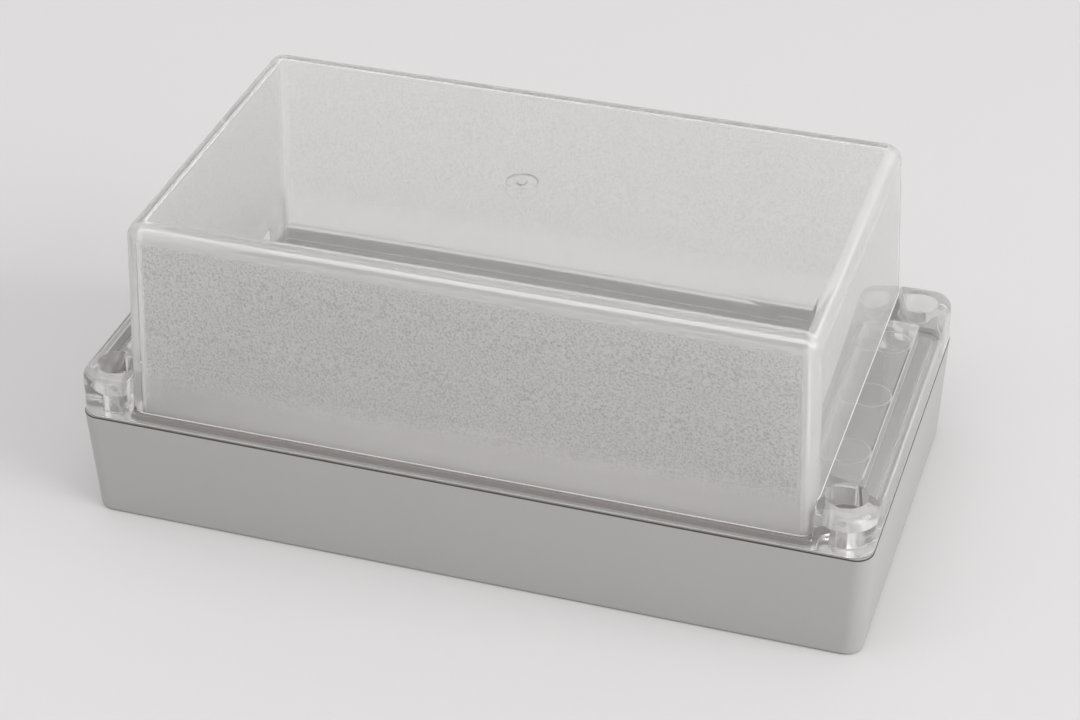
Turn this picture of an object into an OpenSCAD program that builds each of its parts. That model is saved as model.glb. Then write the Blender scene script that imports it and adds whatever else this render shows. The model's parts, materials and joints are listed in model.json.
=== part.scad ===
// Screw-down polycarbonate enclosure: a shallow grey base, a deep clear lid and the sealing gasket between them.
// The origin is the centre of the underside, +X runs along the length and +Z is up.

/* [Box] */
// Length of the box over the seam
box_l = 162; // [130:1:220]
// Width of the box over the seam
box_w = 82; // [70:1:130]
// Height of the base, from the underside to the seam
base_h = 24; // [18:0.5:50]
// Height of the lid above the seam
lid_h = 45.1; // [20:0.1:70]
// Radius of the four upright corners at the seam
corner_r = 4.5; // [3.5:0.1:5.5]

/* [Walls] */
// Thickness of the base's walls at the seam
base_wall = 2.8; // [2.7:0.1:3.6]
// Thickness of the base's floor
floor_t = 2.6; // [2:0.1:4]
// Slope of the base's walls, in degrees
base_draft = 2.1; // [1:0.1:3]
// Thickness of the clear dome's walls and top
dome_wall = 2.5; // [2:0.1:2.7]
// Slope of the dome's walls, in degrees
dome_draft = 2.4; // [1:0.1:3]

/* [End blocks] */
// Height of the raised end blocks above the seam
block_h = 9.8; // [8.5:0.1:14]
// Length of each end block at its top
block_l = 11.2; // [11:0.1:12.5]
// Thickness of the shelf between two screw holes
shelf_t = 2.2; // [1.8:0.1:3]
// Thickness of the end wall beside the space under the shelf
skirt_t = 4.9; // [4:0.1:5.5]
// Slope of the end blocks' outer faces, in degrees
block_draft = 1; // [0.5:0.1:2]
// Rounding of the end blocks' outer top edge
block_edge_r = 2; // [1:0.1:2.5]
// Height of the narrow ledge along the two long sides
ledge_h = 2.6; // [2.6:0.1:4]
// Depth of that ledge, from the box's side to the foot of the dome
ledge_d = 0.95; // [0.6:0.05:1.1]

/* [Dome] */
// Radius of the dome's upright corners
dome_corner_r = 3.5; // [2.4:0.1:4]
// Rounding of the edge round the dome's top
dome_edge_r = 3.5; // [1.5:0.1:3.5]
// Rounding of the dome's inner edges
dome_inner_r = 1; // [0.6:0.1:1.4]

/* [Lid screws] */
// Distance from a screw's axis to the box's end and to its side
screw_inset = 6.5; // [6.4:0.1:6.8]
// Radius of the counterbore that takes the screw's head
head_r = 3.95; // [3.6:0.05:4.2]
// Depth of that counterbore
head_depth = 5; // [4:0.1:5.5]
// Radius of the clear hole through the lid
clear_r = 2.25; // [2:0.05:2.4]
// Radius of the pilot hole in the base, for a thread-forming screw
pilot_r = 1.5; // [1.3:0.05:1.8]
// Depth of that pilot hole
pilot_depth = 14; // [8:0.5:14]

/* [Seal] */
// Thickness of the lid's lip outside the groove
lip_t = 0.9; // [0.8:0.05:1]
// Width of the groove in the lid
groove_w = 1.4; // [1.3:0.05:1.4]
// Depth of the groove
groove_d = 2; // [1.8:0.1:2]
// Height of the base's tongue, which presses into the gasket
tongue_h = 0.9; // [0.5:0.1:1]
// Thickness of that tongue, which stands in the outer half of the groove
tongue_t = 0.5; // [0.4:0.05:0.6]
// Play between the tongue and the groove's outer side
tongue_gap = 0.2; // [0.15:0.05:0.3]
// Play between the gasket and each side of the groove
gasket_gap = 0.05; // [0.02:0.01:0.1]
// Radius of the seal's line where it passes round a screw
seal_notch_r = 5; // [4.8:0.05:5]
// Radius of the seal's line at its own corners
seal_corner_r = 2; // [2:0.1:2.6]

/* [Moulding marks] */
// Radius of an ejector pin's mark under the shelf
ejector_r = 4; // [3:0.1:4]
// Spacing of those marks along the shelf
ejector_pitch = 19.4; // [10:0.1:20]
// Depth of the ejector and gate marks
mark_depth = 0.3; // [0.1:0.05:0.5]
// Radius of the gate's mark in the middle of the dome's top
gate_r = 3.15; // [2.5:0.05:4]
// Radius of the gate's stub, left standing in the mark
gate_stub_r = 1; // [0.6:0.1:1.5]

/* [Board bosses] */
// Radius of a boss for the circuit board
boss_r = 3.5; // [3:0.1:4.5]
// Height of a boss above the floor
boss_h = 5; // [4:0.5:9]
// Radius of the pilot hole in a boss
boss_pilot_r = 1.25; // [1:0.05:1.5]
// Distance from a boss's axis to the box's end
boss_end = 23; // [20:0.5:30]
// Distance from a boss's axis to the box's side
boss_side = 14; // [10:0.5:20]

/* [Hidden] */

$fn = 48;
hull_fn = 32;
slice_t = 0.01;
arc_steps = 6;
cut = 1;

base_edge_r = 0.8;
base_floor_r = 1.6;
seam_chamfer = 0.25;
block_lap = 0.2;
dome_bury = 1.2;
min_r = 0.3;

half_l = box_l / 2;
half_w = box_w / 2;
box_h = base_h + lid_h;
screw_x = half_l - screw_inset;
screw_y = half_w - screw_inset;
boss_x = half_l - boss_end;
boss_y = half_w - boss_side;

// the dome's foot, at the level of the seam, measured from the box's end and side
dome_slope = tan(dome_draft);
dome_end_inset = block_l - block_h * dome_slope;
dome_side_inset = ledge_d - ledge_h * dome_slope;

// the seal, measured inward from the box's side
seal_mid = lip_t + groove_w / 2;
tongue_outer = lip_t + tongue_gap;
tongue_inner = tongue_outer + tongue_t;
lip_inner = dome_side_inset + dome_wall;
pillar_r = seal_notch_r + groove_w / 2 + base_wall - lip_t - groove_w + tongue_gap;

// rectangle with rounded corners, inset from the seam's outline
module inset_rect(end_inset, side_inset, r) {
    x = half_l - end_inset - r;
    y = half_w - side_inset - r;
    square([2 * x, 2 * (y + r)], center = true);
    square([2 * (x + r), 2 * y], center = true);
    at_corners(x, y) circle(r);
}

module at_corners(x, y) {
    for (sx = [-1, 1], sy = [-1, 1])
        translate([sx * x, sy * y]) children();
}

// one thin slice of a moulded shape
module slice(z, end_inset, side_inset, r) {
    x = half_l - end_inset - r;
    y = half_w - side_inset - r;
    translate([0, 0, z]) at_corners(x, y) cylinder(h = slice_t, r = r, $fn = hull_fn);
}

// slices that round a moulded shape's end: up = 1 at its top and -1 at its bottom
module rounded_end(z, end_inset, side_inset, r, edge_r, up) {
    for (i = [0:arc_steps]) {
        a = 90 * i / arc_steps;
        d = edge_r * (1 - cos(a));
        level = z - up * edge_r * (1 - sin(a)) - (up > 0 ? slice_t : 0);
        slice(level, end_inset + d, side_inset + d, max(r - d, min_r));
    }
}

// everything inside the seal at a given distance from the box's side; it bends in round each screw
module inside_seal(inset) {
    grow = inset - seal_mid;
    notch_r = seal_notch_r + grow;
    r = seal_corner_r - grow;
    inset_rect(screw_inset + notch_r, inset, r);
    inset_rect(inset, screw_inset + notch_r, r);
    difference() {
        square([2 * screw_x, 2 * screw_y], center = true);
        at_corners(screw_x, screw_y) circle(notch_r);
    }
}

// flat ring that follows the seal between two distances from the box's side
module seal_ring(outer_inset, inner_inset) {
    difference() {
        inside_seal(outer_inset);
        inside_seal(inner_inset);
    }
}

// ---- base: a drafted tub with a screw pillar in each corner ----

module base_outside() {
    foot_inset = base_h * tan(base_draft);
    top_r = corner_r - seam_chamfer;
    hull() {
        slice(base_h - slice_t, seam_chamfer, seam_chamfer, top_r);
        slice(base_h - seam_chamfer, 0, 0, corner_r);
        rounded_end(0, foot_inset, foot_inset, corner_r - foot_inset, base_edge_r, -1);
    }
}

module base_hollow() {
    floor_inset = base_wall + (base_h - floor_t) * tan(base_draft);
    r = max(corner_r - base_wall, min_r);
    hull() {
        slice(base_h + cut, base_wall, base_wall, r);
        rounded_end(floor_t, floor_inset, floor_inset, r, base_floor_r, -1);
    }
}

// a corner of the tub, filled in round its screw
module pillar() {
    reach = screw_inset + cut;
    cylinder(h = base_h, r = pillar_r);
    translate([-pillar_r, 0, 0]) cube([pillar_r + reach, reach, base_h]);
    translate([0, -pillar_r, 0]) cube([reach, pillar_r + reach, base_h]);
}

module at_each_corner(x, y) {
    for (mx = [0, 1], my = [0, 1])
        mirror([mx, 0, 0]) mirror([0, my, 0]) translate([x, y, 0]) children();
}

module base() {
    color("#a3a29f") difference() {
        union() {
            difference() {
                base_outside();
                difference() {
                    base_hollow();
                    at_each_corner(screw_x, screw_y) pillar();
                    at_each_corner(boss_x, boss_y) cylinder(h = floor_t + boss_h, r = boss_r);
                }
            }
            translate([0, 0, base_h - cut])
                linear_extrude(tongue_h + cut)
                    seal_ring(tongue_outer, tongue_inner);
        }
        at_each_corner(screw_x, screw_y)
            translate([0, 0, base_h - pilot_depth]) cylinder(h = pilot_depth + cut, r = pilot_r);
        at_each_corner(boss_x, boss_y)
            translate([0, 0, floor_t]) cylinder(h = boss_h + cut, r = boss_pilot_r);
    }
}

// ---- lid: one clear moulding, a deep dome between two raised end blocks ----

// the blocks and the ledge, as wide and as long as the box, cut down to the ledge between the blocks
module lid_foot() {
    between = box_l - 2 * (block_l + block_lap);
    top_inset = block_h * tan(block_draft);
    difference() {
        hull() {
            slice(base_h, seam_chamfer, seam_chamfer, corner_r - seam_chamfer);
            slice(base_h + seam_chamfer, 0, 0, corner_r);
            rounded_end(base_h + block_h, top_inset, top_inset, corner_r - top_inset, block_edge_r, 1);
        }
        translate([-between / 2, -box_w, base_h + ledge_h]) cube([between, 2 * box_w, block_h]);
    }
}

module dome_outside() {
    foot_rise = dome_bury * dome_slope;
    top_rise = lid_h * dome_slope;
    hull() {
        slice(base_h + dome_bury, dome_end_inset + foot_rise, dome_side_inset + foot_rise, dome_corner_r);
        rounded_end(box_h, dome_end_inset + top_rise, dome_side_inset + top_rise, dome_corner_r, dome_edge_r, 1);
    }
}

module dome_hollow() {
    rise = (lid_h - dome_wall) * dome_slope;
    end_inset = dome_end_inset + dome_wall;
    hull() {
        slice(base_h - cut, end_inset, lip_inner, dome_inner_r);
        rounded_end(box_h - dome_wall, end_inset + rise, lip_inner + rise, dome_inner_r, dome_inner_r, 1);
    }
}

// the space under both shelves, which runs through the dome from end to end
module shelf_hollow() {
    side = screw_inset + seal_notch_r + groove_w / 2 + lip_inner - lip_t - groove_w;
    translate([0, 0, base_h - cut])
        linear_extrude(block_h - shelf_t + cut) inset_rect(skirt_t, side, dome_inner_r);
}

module screw_hole() {
    top = base_h + block_h;
    translate([0, 0, base_h - cut]) cylinder(h = block_h + cut, r = clear_r);
    translate([0, 0, top - head_depth]) cylinder(h = head_depth + cut, r = head_r);
}

module ejector_marks() {
    x = half_l - (skirt_t + block_l + dome_wall) / 2;
    for (side = [-1, 1], i = [-1:1])
        translate([side * x, i * ejector_pitch, base_h + block_h - shelf_t - cut])
            cylinder(h = mark_depth + cut, r = ejector_r);
}

module gate_mark() {
    translate([0, 0, box_h - mark_depth]) difference() {
        cylinder(h = mark_depth + cut, r = gate_r);
        translate([0, 0, -cut]) cylinder(h = mark_depth + cut, r = gate_stub_r);
    }
}

module lid() {
    color("#d9d8d6", 0.4) difference() {
        union() {
            lid_foot();
            dome_outside();
        }
        dome_hollow();
        shelf_hollow();
        translate([0, 0, base_h - cut])
            linear_extrude(groove_d + cut) seal_ring(lip_t, lip_t + groove_w);
        at_each_corner(screw_x, screw_y) screw_hole();
        ejector_marks();
        gate_mark();
    }
}

// ---- gasket: it fills the groove above the base's tongue, and its inner edge hangs down beside the tongue ----

module gasket() {
    inner = lip_t + groove_w - gasket_gap;
    color("#8d857f") translate([0, 0, base_h]) {
        translate([0, 0, tongue_h])
            linear_extrude(groove_d - tongue_h) seal_ring(lip_t + gasket_gap, inner);
        linear_extrude(groove_d) seal_ring(tongue_inner + gasket_gap, inner);
    }
}

base();
lid();
gasket();
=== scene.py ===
import json
import math
import bmesh
import bpy
from mathutils import Matrix, Vector


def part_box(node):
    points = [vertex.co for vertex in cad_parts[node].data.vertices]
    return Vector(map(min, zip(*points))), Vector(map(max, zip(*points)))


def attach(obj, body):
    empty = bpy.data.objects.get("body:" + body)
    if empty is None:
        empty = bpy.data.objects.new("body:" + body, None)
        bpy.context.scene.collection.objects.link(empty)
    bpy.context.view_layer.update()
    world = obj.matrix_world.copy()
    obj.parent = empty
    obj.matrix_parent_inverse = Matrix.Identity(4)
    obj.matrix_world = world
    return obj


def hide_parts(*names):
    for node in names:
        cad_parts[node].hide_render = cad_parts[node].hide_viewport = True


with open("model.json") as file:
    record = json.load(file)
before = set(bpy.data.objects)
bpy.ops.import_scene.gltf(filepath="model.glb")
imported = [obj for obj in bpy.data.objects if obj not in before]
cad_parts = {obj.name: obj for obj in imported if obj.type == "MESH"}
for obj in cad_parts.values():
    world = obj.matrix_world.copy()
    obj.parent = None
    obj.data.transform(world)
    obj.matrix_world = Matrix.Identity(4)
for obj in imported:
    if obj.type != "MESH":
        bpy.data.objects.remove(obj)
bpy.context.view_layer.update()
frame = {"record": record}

# ---------------------------------------------------------------------------
# Camera: a short telephoto view from the front and above, a little to the
# right, with the box turned so that its long side falls away.
# ---------------------------------------------------------------------------
AZIMUTH = math.radians(18.22)
ELEVATION = math.radians(34.32)
ROLL = math.radians(-0.60)
DISTANCE = 0.5945
AIM = Vector((-0.00925, 0.0382, 0.0))

back = Vector((math.sin(AZIMUTH) * math.cos(ELEVATION),
               -math.cos(AZIMUTH) * math.cos(ELEVATION),
               math.sin(ELEVATION)))
level = Vector((math.cos(AZIMUTH), math.sin(AZIMUTH), 0.0))
upward = back.cross(level)
right = math.cos(ROLL) * level + math.sin(ROLL) * upward
upward = back.cross(right)

camera_data = bpy.data.cameras.new("camera")
camera_data.sensor_width = 36.0
camera_data.lens = 89.02
camera_data.clip_start = 0.01
camera = bpy.data.objects.new("camera", camera_data)
bpy.context.scene.collection.objects.link(camera)
camera.matrix_world = Matrix((
    (right.x, upward.x, back.x, AIM.x + DISTANCE * back.x),
    (right.y, upward.y, back.y, AIM.y + DISTANCE * back.y),
    (right.z, upward.z, back.z, AIM.z + DISTANCE * back.z),
    (0.0, 0.0, 0.0, 1.0),
))
bpy.context.scene.camera = camera
bpy.context.scene.view_settings.view_transform = "Standard"


# ---------------------------------------------------------------------------
# Base: a shallow tub moulded in light grey plastic. Its walls draw in a little
# towards the foot, and a solid pillar fills each corner round the lid's screw.
# ---------------------------------------------------------------------------
MM = 0.001
seam_z = frame["record"]["mounts"][0]["pos_m"][2]
high = Vector(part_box("base")[1])
HALF_L = high.x
HALF_W = high.y
SCREW_INSET = 6.5 * MM
SCREW_X = HALF_L - SCREW_INSET
SCREW_Y = HALF_W - SCREW_INSET
CORNER_R = 4.5 * MM
BASE_WALL = 2.8 * MM
FLOOR_T = 2.6 * MM
BASE_DRAFT = math.tan(math.radians(2.1))
TONGUE_H = high.z - seam_z
LIP_T = 0.9 * MM
GROOVE_W = 1.4 * MM
TONGUE_GAP = 0.2 * MM
TONGUE_T = 0.5 * MM
SEAL_NOTCH_R = 5.0 * MM
SEAL_CORNER_R = 2.0 * MM
ARC = 10
EDGE_ARC = 8


def outline(half_x, half_y, radius):
    """Corner points of a rounded rectangle, anticlockwise from the +X side."""
    points = []
    for quarter, (sx, sy) in enumerate(((1, 1), (-1, 1), (-1, -1), (1, -1))):
        for step in range(ARC + 1):
            turn = math.radians(90.0 * (quarter + step / ARC))
            points.append((sx * (half_x - radius) + radius * math.cos(turn),
                           sy * (half_y - radius) + radius * math.sin(turn)))
    return points


def solid(name, rings, hollow=False):
    """A closed solid through rings of points: capped at both ends or, if hollow, joined end to end."""
    mesh = bmesh.new()
    loops = [[mesh.verts.new((x, y, z)) for x, y in points] for z, points in rings]
    count = len(loops[0])
    for this, following in zip(loops, loops[1:] + loops[:1] if hollow else loops[1:]):
        for i in range(count):
            j = (i + 1) % count
            mesh.faces.new((this[i], this[j], following[j], following[i]))
    if hollow:
        bmesh.ops.recalc_face_normals(mesh, faces=mesh.faces)
    else:
        mesh.faces.new(list(reversed(loops[0])))
        mesh.faces.new(loops[-1])
    data = bpy.data.meshes.new(name)
    mesh.to_mesh(data)
    mesh.free()
    piece = bpy.data.objects.new(name, data)
    bpy.context.scene.collection.objects.link(piece)
    return piece


def tapered(name, half_x, half_y, radius, z_low, z_high, slope, low_r=0.0, high_r=0.0):
    """A moulded block: sides that draw in by slope per unit of height, ends rounded over.

    half_x, half_y and radius hold at z_low; a negative slope makes it wider at the top.
    """
    def ring(z, draw):
        inset = slope * (z - z_low) + draw
        corner = max(radius - draw, 0.15 * MM)
        return z, outline(half_x - inset, half_y - inset, corner)

    rings = []
    if low_r:
        for step in range(EDGE_ARC + 1):
            turn = math.radians(90.0 * step / EDGE_ARC)
            rings.append(ring(z_low + low_r * (1 - math.cos(turn)), low_r * (1 - math.sin(turn))))
    else:
        rings.append(ring(z_low, 0.0))
    if high_r:
        for step in range(EDGE_ARC + 1):
            turn = math.radians(90.0 * step / EDGE_ARC)
            rings.append(ring(z_high - high_r * (1 - math.sin(turn)), high_r * (1 - math.cos(turn))))
    else:
        rings.append(ring(z_high, 0.0))
    return solid(name, rings)


def rod(name, x, y, radius, z_low, z_high, sides=64):
    """An upright round rod."""
    points = [(x + radius * math.cos(2 * math.pi * i / sides),
               y + radius * math.sin(2 * math.pi * i / sides)) for i in range(sides)]
    return solid(name, [(z_low, points), (z_high, points)])


def block(name, x, y, z):
    """A box between the low and high values of x, y and z."""
    points = [(x[1], y[1]), (x[0], y[1]), (x[0], y[0]), (x[1], y[0])]
    return solid(name, [(z[0], points), (z[1], points)])


def keep_result(piece, modifier):
    """Puts what the modifier makes into the piece's own mesh, and takes the modifier off."""
    bpy.context.view_layer.update()
    evaluated = piece.evaluated_get(bpy.context.evaluated_depsgraph_get())
    result = bpy.data.meshes.new_from_object(evaluated)
    piece.modifiers.remove(modifier)
    old = piece.data
    piece.data = result
    bpy.data.meshes.remove(old)


def combine(target, operation, *tools):
    """Joins or cuts solids exactly, and leaves the result in target's mesh."""
    for tool in tools:
        modifier = target.modifiers.new("combine", "BOOLEAN")
        modifier.operation = operation
        modifier.solver = "EXACT"
        modifier.object = tool
        keep_result(target, modifier)
        bpy.data.objects.remove(tool)


def seal_line(inset):
    """The seal's line at a distance from the box's side: it bends in round each screw."""
    grow = inset - (LIP_T + GROOVE_W / 2)
    notch = SEAL_NOTCH_R + grow
    corner = SEAL_CORNER_R - grow
    quarter = []

    def bend(x, y, radius, start, sweep):
        for step in range(ARC + 1):
            turn = math.radians(start + sweep * step / ARC)
            quarter.append((x + radius * math.cos(turn), y + radius * math.sin(turn)))

    # one quarter, from the end's middle to the side's middle
    bend(HALF_L - inset - corner, SCREW_Y - notch - corner, corner, 0, 90)
    bend(SCREW_X, SCREW_Y, notch, 270, -90)
    bend(SCREW_X - notch - corner, HALF_W - inset - corner, corner, 0, 90)
    points = list(quarter)
    points += [(-x, y) for x, y in reversed(quarter)]
    points += [(-x, -y) for x, y in quarter]
    points += [(x, -y) for x, y in reversed(quarter)]
    return points


def ring_solid(name, outer_inset, inner_inset, z_low, z_high):
    """A flat closed ring that follows the seal, between two distances from the box's side."""
    outer, inner = seal_line(outer_inset), seal_line(inner_inset)
    return solid(name, [(z_low, outer), (z_high, outer), (z_high, inner), (z_low, inner)], hollow=True)


def each_corner(x, y):
    return [(sx * x, sy * y) for sx in (-1, 1) for sy in (-1, 1)]


def finish_mesh(piece, bevel):
    """Breaks the sharp edges and shades the flats flat and the rounds round."""
    modifier = piece.modifiers.new("edges", "BEVEL")
    modifier.width = bevel
    modifier.segments = 3
    modifier.limit_method = "ANGLE"
    modifier.angle_limit = math.radians(28.0)
    modifier.use_clamp_overlap = False
    modifier.harden_normals = True
    for face in piece.data.polygons:
        face.use_smooth = True
    keep_result(piece, modifier)


foot_inset = BASE_DRAFT * seam_z
base = tapered("base_tub", HALF_L - foot_inset, HALF_W - foot_inset, CORNER_R - foot_inset,
               0.0, seam_z, -BASE_DRAFT, low_r=0.8 * MM, high_r=0.25 * MM)

floor_draw = BASE_WALL + BASE_DRAFT * (seam_z - FLOOR_T)
hollow = tapered("hollow", HALF_L - floor_draw, HALF_W - floor_draw, CORNER_R - BASE_WALL,
                 FLOOR_T, seam_z + MM, -BASE_DRAFT, low_r=1.6 * MM)
PILLAR_R = SEAL_NOTCH_R + GROOVE_W / 2 + BASE_WALL - LIP_T - GROOVE_W + TONGUE_GAP
REACH = 8.0 * MM
full_height = (-MM, seam_z + 2 * MM)
for x, y in each_corner(SCREW_X, SCREW_Y):
    sx = math.copysign(1, x)
    sy = math.copysign(1, y)
    pillar = rod("pillar", x, y, PILLAR_R, *full_height)
    across = block("across", sorted((x - sx * PILLAR_R, x + sx * REACH)), sorted((y, y + sy * REACH)),
                   full_height)
    along = block("along", sorted((x, x + sx * REACH)), sorted((y - sy * PILLAR_R, y + sy * REACH)),
                  full_height)
    combine(hollow, "DIFFERENCE", pillar, across, along)

BOSS_R = 3.5 * MM
BOSS_H = 5.0 * MM
boss_mount = next(m for m in frame["record"]["mounts"] if m["name"] == "board_bosses")
BOSS_X = boss_mount["dims"]["spacing_x_mm"] * MM / 2
BOSS_Y = boss_mount["dims"]["spacing_y_mm"] * MM / 2
for x, y in each_corner(BOSS_X, BOSS_Y):
    combine(hollow, "DIFFERENCE", rod("boss", x, y, BOSS_R, -MM, FLOOR_T + BOSS_H))
combine(base, "DIFFERENCE", hollow)
combine(base, "UNION", ring_solid("tongue", LIP_T + TONGUE_GAP, LIP_T + TONGUE_GAP + TONGUE_T,
                                  seam_z - MM, seam_z + TONGUE_H))
PILOT_R = 1.5 * MM
PILOT_DEPTH = 14.0 * MM
PILOT_SIDES = 32
for x, y in each_corner(SCREW_X, SCREW_Y):
    combine(base, "DIFFERENCE",
            rod("pilot", x, y, PILOT_R, seam_z - PILOT_DEPTH, seam_z + 2 * MM, PILOT_SIDES))
BOSS_PILOT_R = boss_mount["dims"]["hole_r_mm"] * MM
for x, y in each_corner(BOSS_X, BOSS_Y):
    combine(base, "DIFFERENCE",
            rod("boss_pilot", x, y, BOSS_PILOT_R, FLOOR_T, FLOOR_T + 2 * BOSS_H, PILOT_SIDES))
finish_mesh(base, 0.15 * MM)


class Value:
    """A shader socket that takes part in Python sums."""

    def __init__(self, tree, socket):
        self.tree = tree
        self.socket = socket

    def math(self, operation, other=None, swap=False):
        node = self.tree.nodes.new("ShaderNodeMath")
        node.operation = operation
        operands = [self, other] if not swap else [other, self]
        for index, operand in enumerate(operands):
            if isinstance(operand, Value):
                self.tree.links.new(operand.socket, node.inputs[index])
            elif operand is not None:
                node.inputs[index].default_value = operand
        return Value(self.tree, node.outputs[0])

    def __add__(self, other):
        return self.math("ADD", other)

    __radd__ = __add__

    def __mul__(self, other):
        return self.math("MULTIPLY", other)

    __rmul__ = __mul__

    def __sub__(self, other):
        return self.math("SUBTRACT", other)

    def __rsub__(self, other):
        return self.math("SUBTRACT", other, swap=True)

    def absolute(self):
        return self.math("ABSOLUTE")

    def clamp(self):
        return self.math("MAXIMUM", 0.0).math("MINIMUM", 1.0)


class Finish:
    """The nodes of a material or of the room."""

    def __init__(self, owner):
        owner.use_nodes = True
        self.owner = owner
        self.tree = owner.node_tree
        self.tree.nodes.clear()

    def node(self, kind, settings=None, output=0, **sockets):
        node = self.tree.nodes.new(kind)
        for name, value in (settings or {}).items():
            setattr(node, name, value)
        for name, value in sockets.items():
            numbered = name[0] == "i" and name[1:].isdigit()
            socket = node.inputs[int(name[1:]) if numbered else name.replace("_", " ")]
            if isinstance(value, Value):
                self.tree.links.new(value.socket, socket)
            else:
                socket.default_value = value
        return Value(self.tree, node.outputs[output])

    def blend(self, mask, first, second):
        """Colour between first and second."""
        return self.node("ShaderNodeMix", {"data_type": "RGBA"}, 2, i0=mask, i6=first, i7=second)

    def step(self, value, place, sharpness):
        """0 below the place and 1 above it, with a short ramp in between."""
        return ((value - place) * sharpness).clamp()

    def show(self, shader, kind="ShaderNodeOutputMaterial"):
        way_out = self.tree.nodes.new(kind)
        self.tree.links.new(shader.socket, way_out.inputs["Surface"])
        return self.owner


# painted shade: the outer faces of the rim along the seam are coloured dark, for the shade in the gap
# under the lid
outer_edge = base.data.attributes.new("outer_edge", "FLOAT", "FACE")
for face in base.data.polygons:
    looks_out = face.normal.x * face.center.x + face.normal.y * face.center.y > 0
    near_outline = max(abs(face.center.x) - HALF_L, abs(face.center.y) - HALF_W) > -CORNER_R
    upright = abs(face.normal.z) < 0.95
    outer_edge.data[face.index].value = float(looks_out and near_outline and upright)

grey = Finish(bpy.data.materials.new("moulded_grey"))
where = grey.node("ShaderNodeTexCoord", output="Object")
grain = grey.node("ShaderNodeTexNoise", Vector=where, Scale=2600.0, Detail=2.0, Roughness=0.5)
clouds = grey.node("ShaderNodeTexNoise", Vector=where, Scale=28.0, Detail=3.0, Roughness=0.55)
specks = grey.node("ShaderNodeTexNoise", Vector=where, Scale=420.0, Detail=2.0, Roughness=0.6)
tint = (clouds * 0.6 + grain * 0.4).clamp()
plain = grey.blend(tint, (0.405, 0.400, 0.390, 1.0), (0.445, 0.440, 0.429, 1.0))
level_up = grey.node("ShaderNodeSeparateXYZ", output="Z", Vector=where)
edge_mask = grey.node("ShaderNodeAttribute", {"attribute_name": "outer_edge"}, "Fac")
# painted shade: a band from 0.32 mm below the seam to 0.1 mm above it turns dark brown-black on the outer
# faces
seam_shade_band = grey.step(level_up, seam_z - 0.32 * MM, 20000.0) - grey.step(level_up, seam_z + 0.1 * MM, 20000.0)
colour = grey.blend(seam_shade_band * edge_mask, plain, (0.045, 0.032, 0.024, 1.0))
bump = grey.node("ShaderNodeBump", Strength=0.25, Distance=0.00008, Height=grain + specks * 0.5)
surface = grey.node("ShaderNodeBsdfPrincipled", Base_Color=colour, Roughness=0.46 + specks * 0.1,
                    Normal=bump, IOR=1.5)
base.data.materials.clear()
base.data.materials.append(grey.show(surface))
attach(base, "base")
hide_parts("base")

# ---------------------------------------------------------------------------
# Gasket: a closed ring of brown-grey sealing rubber. It fills the groove
# under the lid above the base's tongue, and hangs down on its inner side.
# ---------------------------------------------------------------------------
PRESS = 0.02 * MM
gasket_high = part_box("gasket")[1]
gasket = ring_solid("gasket_ring", LIP_T - PRESS, LIP_T + GROOVE_W + PRESS,
                    seam_z + TONGUE_H + PRESS, gasket_high[2] + PRESS)
combine(gasket, "UNION", ring_solid("inner_edge", LIP_T + TONGUE_GAP + TONGUE_T + 2 * PRESS,
                                    LIP_T + GROOVE_W + PRESS, seam_z + PRESS, gasket_high[2]))
finish_mesh(gasket, 0.08 * MM)

rubber = Finish(bpy.data.materials.new("sealing_rubber"))
where = rubber.node("ShaderNodeTexCoord", output="Object")
dust = rubber.node("ShaderNodeTexNoise", Vector=where, Scale=900.0, Detail=3.0, Roughness=0.6)
colour = rubber.blend(dust, (0.085, 0.066, 0.054, 1.0), (0.135, 0.108, 0.092, 1.0))
bump = rubber.node("ShaderNodeBump", Strength=0.3, Distance=0.00005, Height=dust)
surface = rubber.node("ShaderNodeBsdfPrincipled", Base_Color=colour, Roughness=0.6 + dust * 0.15,
                      Normal=bump)
gasket.data.materials.append(rubber.show(surface))
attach(gasket, "lid")
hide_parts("gasket")

# ---------------------------------------------------------------------------
# Lid: one deep moulding in clear polycarbonate, a dome between two raised end
# blocks. The upper part of its walls is pebbled inside, the rest is polished,
# and it keeps the round marks of the ejector pins and of the gate.
# ---------------------------------------------------------------------------
TOP_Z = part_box("lid")[1][2]
BLOCK_H = 9.8 * MM
BLOCK_L = 11.2 * MM
BLOCK_LAP = 0.2 * MM
BLOCK_DRAFT = math.tan(math.radians(1.0))
BLOCK_EDGE_R = 2.0 * MM
LEDGE_H = 2.6 * MM
LEDGE_D = 0.95 * MM
SHELF_T = 2.2 * MM
SKIRT_T = 4.9 * MM
DOME_WALL = 2.5 * MM
DOME_DRAFT = math.tan(math.radians(2.4))
DOME_CORNER_R = 3.5 * MM
DOME_EDGE_R = 3.5 * MM
DOME_INNER_R = 1.0 * MM
GROOVE_D = 2.0 * MM
HEAD_R = 3.95 * MM
HEAD_DEPTH = 5.0 * MM
CLEAR_R = 2.25 * MM
SEAM_GAP = 0.22 * MM

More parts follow.
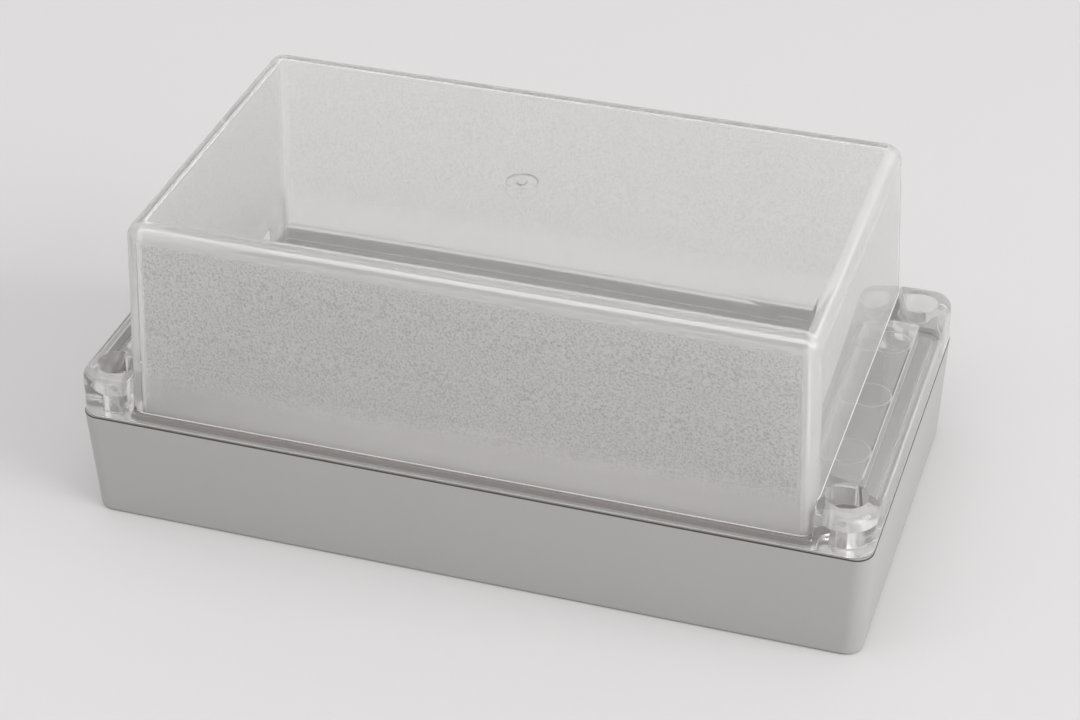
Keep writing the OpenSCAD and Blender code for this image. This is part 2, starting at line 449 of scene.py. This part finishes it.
lid = tapered("lid_moulding", HALF_L, HALF_W, CORNER_R, seam_z + SEAM_GAP, seam_z + BLOCK_H, BLOCK_DRAFT,
              low_r=0.35 * MM, high_r=BLOCK_EDGE_R)
between = HALF_L - BLOCK_L - BLOCK_LAP
combine(lid, "DIFFERENCE", block("between_blocks", (-between, between), (-2 * HALF_W, 2 * HALF_W),
                                 (seam_z + LEDGE_H, seam_z + 2 * BLOCK_H)))
dome_x = HALF_L - BLOCK_L + BLOCK_H * DOME_DRAFT
dome_y = HALF_W - LEDGE_D + LEDGE_H * DOME_DRAFT
bury = 1.2 * MM
dome = tapered("dome", dome_x - bury * DOME_DRAFT, dome_y - bury * DOME_DRAFT, DOME_CORNER_R,
               seam_z + bury, TOP_Z, DOME_DRAFT, high_r=DOME_EDGE_R)
combine(lid, "UNION", dome)
inside = tapered("dome_hollow", dome_x - DOME_WALL + MM * DOME_DRAFT, dome_y - DOME_WALL + MM * DOME_DRAFT,
                 DOME_INNER_R, seam_z - MM, TOP_Z - DOME_WALL, DOME_DRAFT, high_r=DOME_INNER_R)
combine(lid, "DIFFERENCE", inside)
inner_lip = HALF_W - dome_y + DOME_WALL - LIP_T - GROOVE_W
shelf_y = SCREW_Y - SEAL_NOTCH_R - GROOVE_W / 2 - inner_lip
shelf = tapered("shelf_hollow", HALF_L - SKIRT_T, shelf_y, DOME_INNER_R,
                seam_z - MM, seam_z + BLOCK_H - SHELF_T, 0.0, high_r=0.6 * MM)
combine(lid, "DIFFERENCE", shelf)
combine(lid, "DIFFERENCE", ring_solid("groove", LIP_T, LIP_T + GROOVE_W, seam_z - MM, seam_z + GROOVE_D))
for x, y in each_corner(SCREW_X, SCREW_Y):
    combine(lid, "DIFFERENCE",
            rod("clear_hole", x, y, CLEAR_R, seam_z - MM, seam_z + BLOCK_H),
            rod("head_hole", x, y, HEAD_R, seam_z + BLOCK_H - HEAD_DEPTH, seam_z + BLOCK_H + MM))
EJECTOR_R = 4.0 * MM
EJECTOR_PITCH = 19.4 * MM
MARK_DEPTH = 0.3 * MM
mark_x = HALF_L - (SKIRT_T + BLOCK_L + DOME_WALL) / 2
shelf_under = seam_z + BLOCK_H - SHELF_T
for side in (-1, 1):
    for step in (-1, 0, 1):
        combine(lid, "DIFFERENCE", rod("ejector_mark", side * mark_x, step * EJECTOR_PITCH, EJECTOR_R,
                                       shelf_under - MM, shelf_under + MARK_DEPTH))
GATE_R = 3.15 * MM
STUB_R = 1.0 * MM
gate = rod("gate_mark", 0.0, 0.0, GATE_R, TOP_Z - MARK_DEPTH, TOP_Z + MM)
combine(gate, "DIFFERENCE", rod("gate_stub", 0.0, 0.0, STUB_R, TOP_Z - MM, TOP_Z - 0.1 * MARK_DEPTH))
combine(lid, "DIFFERENCE", gate)
finish_mesh(lid, 0.22 * MM)

# the core side of the dome's four walls is pebbled, the flat panels are polished on both sides,
# and the thick rims and blocks are softer, because the plastic itself is a little milky;
# the ejector mark edges, the feet of the dome and ledge and the lid's lower edge carry a painted highlight
pebbled = lid.data.attributes.new("pebbled", "FLOAT", "FACE")
milky = lid.data.attributes.new("milky", "FLOAT", "FACE")


def near(value, place, reach):
    return abs(value - place) < reach


for face in lid.data.polygons:
    x, y, z = face.center
    flatness = abs(face.normal.z)
    crest = max(lid.data.vertices[i].co.z for i in face.vertices)
    faces_in = face.normal.x * x + face.normal.y * y < 0
    on_wall = flatness < 0.2 and crest > seam_z + 1.5 * BLOCK_H
    front = y < 0 and face.normal.y > 0.9
    pebbled.data[face.index].value = (1.0 if front else 0.55) if faces_in and on_wall else 0.0

    window = flatness > 0.98 and crest > TOP_Z - 1.5 * DOME_WALL
    rounded = min(abs(face.normal.x), abs(face.normal.y)) > 0.08 or flatness > 0.08
    to_mark = min(math.hypot(abs(x) - mark_x, y - step * EJECTOR_PITCH) for step in (-1, 0, 1))
    mark_edge = near(z, shelf_under, 0.6 * MM) and to_mark < EJECTOR_R + 0.4 * MM and flatness < 0.95
    dome_foot = (near(z, seam_z + BLOCK_H, 0.3 * MM)
                 and near(abs(x), dome_x - BLOCK_H * DOME_DRAFT, 0.4 * MM))
    ledge_foot = near(z, seam_z + LEDGE_H, 0.35 * MM) and near(abs(y), HALF_W - LEDGE_D, 0.5 * MM)
    foot = 0.1 < face.normal.z < 0.95 and (dome_foot or ledge_foot)
    low_edge = z < seam_z + 0.7 * MM and -0.95 < face.normal.z < -0.1
    if window:
        amount = 0.0
    # painted highlight: these edges and feet turn almost fully to white haze, so that they show as bright
    # lines
    elif mark_edge or foot or low_edge:
        amount = 2.4
    elif on_wall and not rounded:
        amount = 0.3
    else:
        amount = 0.6 if z > seam_z + BLOCK_H + MM else 0.45
    milky.data[face.index].value = amount

clear = Finish(bpy.data.materials.new("clear_polycarbonate"))
where = clear.node("ShaderNodeTexCoord", output="Object")
across, along, height = (clear.node("ShaderNodeSeparateXYZ", output=axis, Vector=where) for axis in "XYZ")
textured = clear.node("ShaderNodeAttribute", {"attribute_name": "pebbled"}, "Fac")
haze_and_highlight_amount = clear.node("ShaderNodeAttribute", {"attribute_name": "milky"}, "Fac")
PEBBLE_FOOT = 31.0 * MM
PLAIN_CORNER = 1.4 * MM
fade = clear.step(height, PEBBLE_FOOT, 160.0)
lean = (height - seam_z) * DOME_DRAFT
near_end = clear.step(across.absolute() + lean, dome_x - DOME_WALL - PLAIN_CORNER, 2000.0)
near_side = clear.step(along.absolute() + lean, dome_y - DOME_WALL - PLAIN_CORNER, 2000.0)
pebble_mask = textured * fade * (1.0 - near_end * near_side)
pebble = clear.node("ShaderNodeTexNoise", Vector=where, Scale=2000.0, Detail=2.0, Roughness=0.7)
bump = clear.node("ShaderNodeBump", Strength=1.0, Distance=0.0004, Height=pebble * pebble_mask)
plastic = clear.node("ShaderNodeBsdfPrincipled", Base_Color=(0.992, 0.987, 0.987, 1.0),
                     Roughness=pebble_mask * 0.40 + haze_and_highlight_amount * 0.05 + 0.015, IOR=1.585,
                     Transmission_Weight=1.0, Normal=bump)
grit = (1.0 - ((pebble - 0.30) * 3.8).clamp()) * pebble_mask
speckle = clear.blend(grit, (1.0, 0.985, 0.985, 1.0), (0.20, 0.195, 0.19, 1.0))
shine = clear.node("ShaderNodeBsdfPrincipled", Base_Color=speckle, Roughness=1.0, Specular_IOR_Level=0.0,
                   Normal=bump)
through = clear.node("ShaderNodeBsdfTranslucent", Color=(1.0, 0.985, 0.985, 1.0))
haze = clear.node("ShaderNodeMixShader", i0=0.4, i1=shine, i2=through)
# the haze amount holds the plastic's milkiness and, at 2.4, the painted highlight lines on edges and feet
haziness = pebble_mask * 0.24 + textured * 0.34 + haze_and_highlight_amount * 0.42 + 0.05
surface = clear.node("ShaderNodeMixShader", i0=haziness, i1=plastic, i2=haze)
lid.data.materials.append(clear.show(surface))
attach(lid, "lid")
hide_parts("lid")

# ---------------------------------------------------------------------------
# Studio: a pale matt floor, a broad soft lamp on the right, a weaker one
# overhead, and a pale room around them.
# ---------------------------------------------------------------------------
paper = Finish(bpy.data.materials.new("pale_paper"))
sheet = paper.node("ShaderNodeBsdfDiffuse", Color=(0.69, 0.677, 0.681, 1.0))
floor_mesh = bpy.data.meshes.new("floor")
FLOOR_HALF = 3.0
floor_corners = ((-1, -1), (1, -1), (1, 1), (-1, 1))
floor_mesh.from_pydata([(sx * FLOOR_HALF, sy * FLOOR_HALF, 0) for sx, sy in floor_corners], [],
                       [(0, 1, 2, 3)])
floor = bpy.data.objects.new("floor", floor_mesh)
floor_mesh.materials.append(paper.show(sheet))
bpy.context.scene.collection.objects.link(floor)


def soft_lamp(name, place, aim, size, power):
    data = bpy.data.lights.new(name, "AREA")
    data.shape = "SQUARE"
    data.size = size
    data.energy = power
    lamp = bpy.data.objects.new(name, data)
    bpy.context.scene.collection.objects.link(lamp)
    lamp.location = place
    lamp.rotation_euler = (Vector(aim) - Vector(place)).to_track_quat("-Z", "Y").to_euler()
    return lamp


soft_lamp("side", (1.90, -0.30, 1.00), (0, 0, 0.03), 1.5, 26.0)
soft_lamp("overhead", (-0.15, -0.35, 1.30), (0, 0, 0.03), 1.2, 5.5)

world = bpy.data.worlds.new("room")
bpy.context.scene.world = world
room = Finish(world)
camera_ray, glossy_ray, clear_ray = (room.node("ShaderNodeLightPath", output="Is %s Ray" % kind)
                                     for kind in ("Camera", "Glossy", "Transmission"))
seen = (camera_ray + glossy_ray + clear_ray).clamp()
ROOM_LIGHT = 0.67
glow = room.node("ShaderNodeBackground", Color=(1.0, 0.995, 0.99, 1.0),
                 Strength=seen * (1.0 - ROOM_LIGHT) + ROOM_LIGHT)
room.show(glow, "ShaderNodeOutputWorld")
bpy.context.scene.cycles.max_bounces = 32
bpy.context.scene.cycles.glossy_bounces = 24
bpy.context.scene.cycles.transmission_bounces = 32
